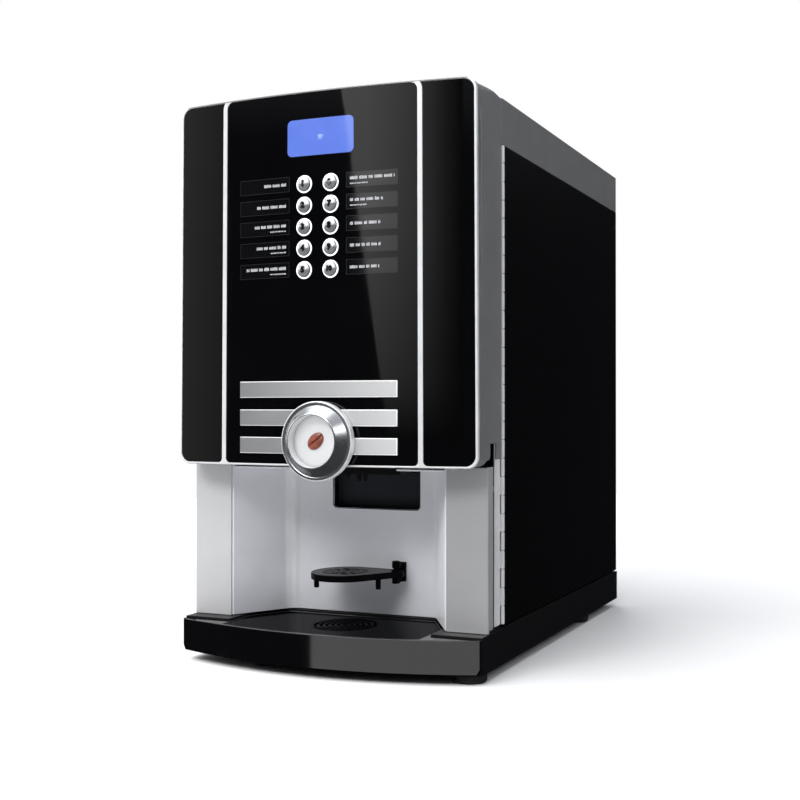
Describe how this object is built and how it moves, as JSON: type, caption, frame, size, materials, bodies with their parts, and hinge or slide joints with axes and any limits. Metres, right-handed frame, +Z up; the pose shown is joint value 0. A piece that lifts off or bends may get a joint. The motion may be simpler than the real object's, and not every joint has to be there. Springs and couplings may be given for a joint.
{
  "type": "hot coffee vending machine",
  "caption": "Table-top hot coffee vending machine with swing-open keypad door, cup niche, swing-out cup shelf, drip tray and filling lid.",
  "frame": {"origin": "centre of the bounding box, on the plane under the feet", "axes": "+X to the right of the person using it, the keypad door faces -Y, +Z up"},
  "size_m": [0.4048, 0.6282, 0.686],
  "materials": {
    "gloss_black": "high gloss black",
    "satin_black": "satin black",
    "silver": "silver metallic",
    "steel": "brushed",
    "grey_metallic": "mid-grey metallic",
    "chrome": "polished",
    "white": "translucent white, lit",
    "display": "blue back-lit display",
    "inner": "moulded",
    "clear": "smoked clear",
    "board": "printed circuit board",
    "brass": "machined",
    "rubber": "moulded",
    "bean": "red-brown",
    "panel_black": "gloss black sheet steel"
  },
  "bodies": {
    "cabinet": {"base": "satin_black", "foot_front_left": "rubber", "foot_front_right": "rubber", "foot_rear_left": "rubber", "foot_rear_right": "rubber", "side_panel_left": "panel_black", "side_panel_right": "panel_black", "rear_panel": "satin_black", "top_frame": "grey_metallic", "equipment_plate": "steel", "dispense_head": "satin_black", "brew_group": "inner", "grinder": "inner", "bean_hopper": "clear", "product_canister": "clear", "waste_bin": "inner", "mixer_bowl": "inner", "boiler": "steel", "water_pump": "inner", "control_board": "board", "mains_inlet": "satin_black", "water_inlet": "brass", "hinge_leaf_cabinet": "steel"},
    "door": {"door_frame": "silver", "door_shell": "grey_metallic", "front_panel_left": "gloss_black", "front_panel_center": "gloss_black", "front_panel_right": "gloss_black", "display_lens": "display", "button_light_guide": "white", "keypad_board": "board", "trim_bar_1": "steel", "trim_bar_2": "steel", "trim_bar_3": "steel", "medallion_ring": "chrome", "medallion_lens": "white", "bean_emblem": "bean", "door_liner": "inner", "column_left": "steel", "column_right": "steel", "niche_liner": "steel", "shelf_bracket": "satin_black", "hinge_leaf_door": "steel"},
    "lid": {"top_lid": "grey_metallic"},
    "shelf": {"cup_shelf": "satin_black"},
    "lock": {"door_lock": "chrome"},
    "tray": {"drip_tray": "gloss_black"},
    "tray_cover": {"drip_cover": "gloss_black"},
    "switch": {"power_switch": "satin_black"},
    "whipper": {"whipper_rotor": "inner"},
    "key_01": {"button_01": "chrome"},
    "key_02": {"button_02": "chrome"},
    "key_03": {"button_03": "chrome"},
    "key_04": {"button_04": "chrome"},
    "key_05": {"button_05": "chrome"},
    "key_06": {"button_06": "chrome"},
    "key_07": {"button_07": "chrome"},
    "key_08": {"button_08": "chrome"},
    "key_09": {"button_09": "chrome"},
    "key_10": {"button_10": "chrome"}
  },
  "joints": [
    {"name": "door_swing", "type": "hinge", "parent": "cabinet", "child": "door", "pos_m": [0.2, -0.2022, 0.34], "axis": [0, 0, 1], "range_deg": [0, 105]},
    {"name": "shelf_swing", "type": "hinge", "parent": "door", "child": "shelf", "pos_m": [0.054, -0.1899, 0.109], "axis": [0, 0, 1], "range_deg": [0, 90]},
    {"name": "lock_turn", "type": "hinge", "parent": "door", "child": "lock", "pos_m": [-0.1924, -0.2329, 0.4], "axis": [1, 0, 0], "range_deg": [0, 90]},
    {"name": "lid_lift", "type": "hinge", "parent": "cabinet", "child": "lid", "pos_m": [0, 0.2816, 0.6797], "axis": [-1, 0, 0], "range_deg": [0, 80]},
    {"name": "tray_slide", "type": "slide", "parent": "cabinet", "child": "tray", "axis": [0, -1, 0], "range_m": [0, 0.11]},
    {"name": "cover_lift", "type": "slide", "parent": "tray", "child": "tray_cover", "axis": [0, 0, 1], "range_m": [0, 0.03]},
    {"name": "switch_rock", "type": "hinge", "parent": "cabinet", "child": "switch", "pos_m": [-0.1095, 0.2956, 0.09], "axis": [1, 0, 0], "range_deg": [-12, 12]},
    {"name": "whipper_spin", "type": "hinge", "parent": "cabinet", "child": "whipper", "pos_m": [-0.105, -0.0729, 0.364], "axis": [0, 0, 1], "continuous": true},
    {"name": "key_01_press", "type": "slide", "parent": "door", "child": "key_01", "axis": [0, 1, 0], "range_m": [0, 0.002], "stiffness_N_per_m": 400},
    {"name": "key_02_press", "type": "slide", "parent": "door", "child": "key_02", "axis": [0, 1, 0], "range_m": [0, 0.002], "stiffness_N_per_m": 400},
    {"name": "key_03_press", "type": "slide", "parent": "door", "child": "key_03", "axis": [0, 1, 0], "range_m": [0, 0.002], "stiffness_N_per_m": 400},
    {"name": "key_04_press", "type": "slide", "parent": "door", "child": "key_04", "axis": [0, 1, 0], "range_m": [0, 0.002], "stiffness_N_per_m": 400},
    {"name": "key_05_press", "type": "slide", "parent": "door", "child": "key_05", "axis": [0, 1, 0], "range_m": [0, 0.002], "stiffness_N_per_m": 400},
    {"name": "key_06_press", "type": "slide", "parent": "door", "child": "key_06", "axis": [0, 1, 0], "range_m": [0, 0.002], "stiffness_N_per_m": 400},
    {"name": "key_07_press", "type": "slide", "parent": "door", "child": "key_07", "axis": [0, 1, 0], "range_m": [0, 0.002], "stiffness_N_per_m": 400},
    {"name": "key_08_press", "type": "slide", "parent": "door", "child": "key_08", "axis": [0, 1, 0], "range_m": [0, 0.002], "stiffness_N_per_m": 400},
    {"name": "key_09_press", "type": "slide", "parent": "door", "child": "key_09", "axis": [0, 1, 0], "range_m": [0, 0.002], "stiffness_N_per_m": 400},
    {"name": "key_10_press", "type": "slide", "parent": "door", "child": "key_10", "axis": [0, 1, 0], "range_m": [0, 0.002], "stiffness_N_per_m": 400}
  ]
}
